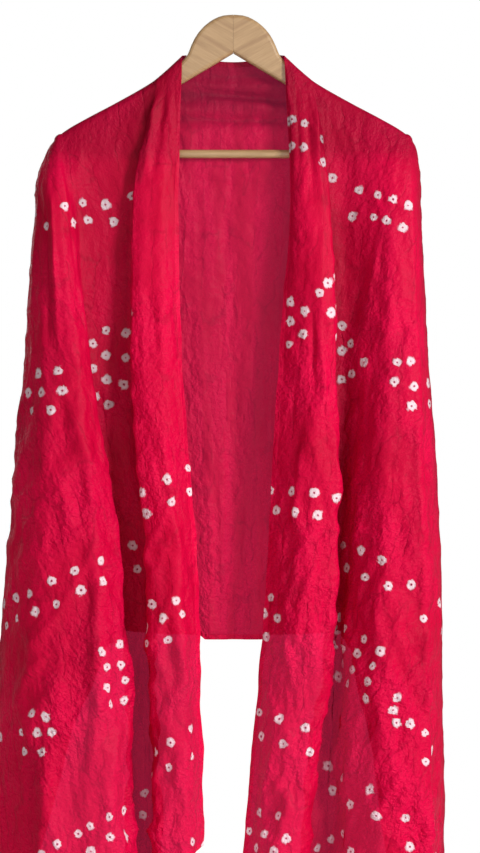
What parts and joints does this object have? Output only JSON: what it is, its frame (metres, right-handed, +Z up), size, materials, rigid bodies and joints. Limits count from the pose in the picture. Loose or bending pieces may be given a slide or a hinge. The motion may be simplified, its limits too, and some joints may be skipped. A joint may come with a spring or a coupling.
{
  "type": "bandhani cloth on a wooden clothes hanger",
  "caption": "Long sheer tie-dyed shawl cloth hung open over a flat wooden hanger with a round bar, its ends falling down the front in soft folds.",
  "frame": {"origin": "mouth of the hook hole, in the middle of the hanger's top edge", "axes": "+Z up; -Y is the front that the picture shows; +X to the right in front view, along the hanger's bar"},
  "size_m": [0.5725, 0.2339, 1.3317],
  "materials": {
    "dyed_cloth": "sheer crinkled cotton and silk weave",
    "arm_wood": "clear satin lacquer",
    "bar_wood": "clear satin lacquer"
  },
  "bodies": {
    "root": {"cloth": "dyed_cloth", "arm_left": "arm_wood", "arm_right": "arm_wood", "bar": "bar_wood"}
  },
  "joints": []
}
